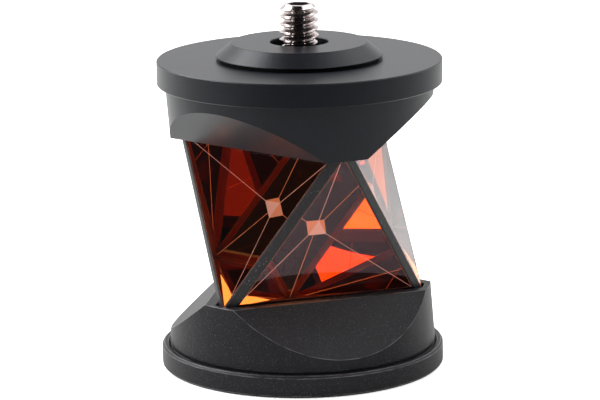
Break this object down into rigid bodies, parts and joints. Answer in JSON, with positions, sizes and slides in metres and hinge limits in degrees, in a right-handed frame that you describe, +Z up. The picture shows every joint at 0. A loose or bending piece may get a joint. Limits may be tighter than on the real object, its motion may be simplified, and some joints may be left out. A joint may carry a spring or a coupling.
{
  "type": "omnidirectional surveying prism",
  "caption": "Short round surveying target with a ring of corner-cube prisms between two black caps and a threaded stud on top.",
  "frame": {"origin": "centre of the base's underside", "axes": "+Z up through the stud, -Y through the middle of a front face whose base edge is down"},
  "size_m": [0.046, 0.046, 0.0591],
  "materials": {
    "base_black": "black anodised aluminium with a fine blasted grain",
    "cap_black": "smooth matt black anodised aluminium",
    "core_metal": "milled",
    "prism_glass": "clear optical glass with copper mirror coating on its three back faces",
    "strip_black": "satin dark grey",
    "sealant": "matt black",
    "steel": "turned stainless steel",
    "stud_steel": "bright rolled thread"
  },
  "bodies": {
    "target": {"lower_cap": "base_black", "upper_cap": "cap_black", "lower_core": "core_metal", "upper_core": "core_metal", "prism_1": "prism_glass", "prism_2": "prism_glass", "prism_3": "prism_glass", "prism_4": "prism_glass", "prism_5": "prism_glass", "prism_6": "prism_glass", "edge_strip_1": "strip_black", "edge_strip_2": "strip_black", "edge_strip_3": "strip_black", "edge_strip_4": "strip_black", "edge_strip_5": "strip_black", "edge_strip_6": "strip_black", "lower_sealant": "sealant", "upper_sealant": "sealant", "lower_insert": "steel", "upper_insert": "steel", "lower_screws": "steel", "upper_screws": "steel", "collar_washer": "sealant", "collar": "cap_black"},
    "stud": {"stud": "stud_steel"}
  },
  "joints": [
    {"name": "stud_travel", "type": "slide", "parent": "target", "child": "stud", "axis": [0, 0, 1], "range_m": [-0.0061, 0]}
  ]
}
